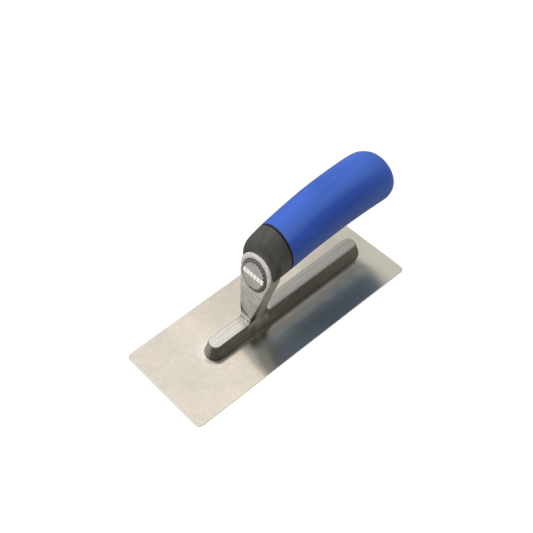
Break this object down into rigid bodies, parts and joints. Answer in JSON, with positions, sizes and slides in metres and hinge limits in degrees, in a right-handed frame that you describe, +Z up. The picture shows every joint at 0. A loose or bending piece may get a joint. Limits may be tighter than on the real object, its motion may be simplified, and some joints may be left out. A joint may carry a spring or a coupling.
{
  "type": "finishing trowel",
  "caption": "Small rectangular finishing trowel: thin steel blade, riveted cast alloy shank and a rounded soft-grip handle above it.",
  "frame": {"origin": "centre of the blade's flat working face", "axes": "+X along the blade towards the toe, +Y across the blade, +Z up from the working face towards the handle"},
  "size_m": [0.2162, 0.083, 0.0895],
  "materials": {
    "stainless_blade": "fine ground stainless steel, brush lines along the blade",
    "rivet_steel": "rivet heads ground flush with the blade",
    "cast_alloy": "as-cast light alloy, top of the foot bar linished bright",
    "badge_dark_plastic": "dark moulded plastic",
    "badge_grey_film": "mid grey satin film with a plain pale band",
    "grey_nylon": "dark grey hard plastic, fine spark-eroded texture",
    "blue_soft_rubber": "blue soft-touch rubber, satin",
    "blue_plug": "blue plastic",
    "zinc_steel": "bright zinc-plated steel"
  },
  "bodies": {
    "root": {"blade": "stainless_blade", "blade_rivet_1": "rivet_steel", "blade_rivet_2": "rivet_steel", "blade_rivet_3": "rivet_steel", "blade_rivet_4": "rivet_steel", "blade_rivet_5": "rivet_steel", "blade_rivet_6": "rivet_steel", "blade_rivet_7": "rivet_steel", "shank_casting": "cast_alloy", "badge_cap": "badge_dark_plastic", "badge_label": "badge_grey_film", "handle_core": "grey_nylon", "soft_grip": "blue_soft_rubber", "tang_rod": "zinc_steel", "tang_washer": "zinc_steel", "tang_nut": "zinc_steel", "butt_plug": "blue_plug"}
  },
  "joints": []
}
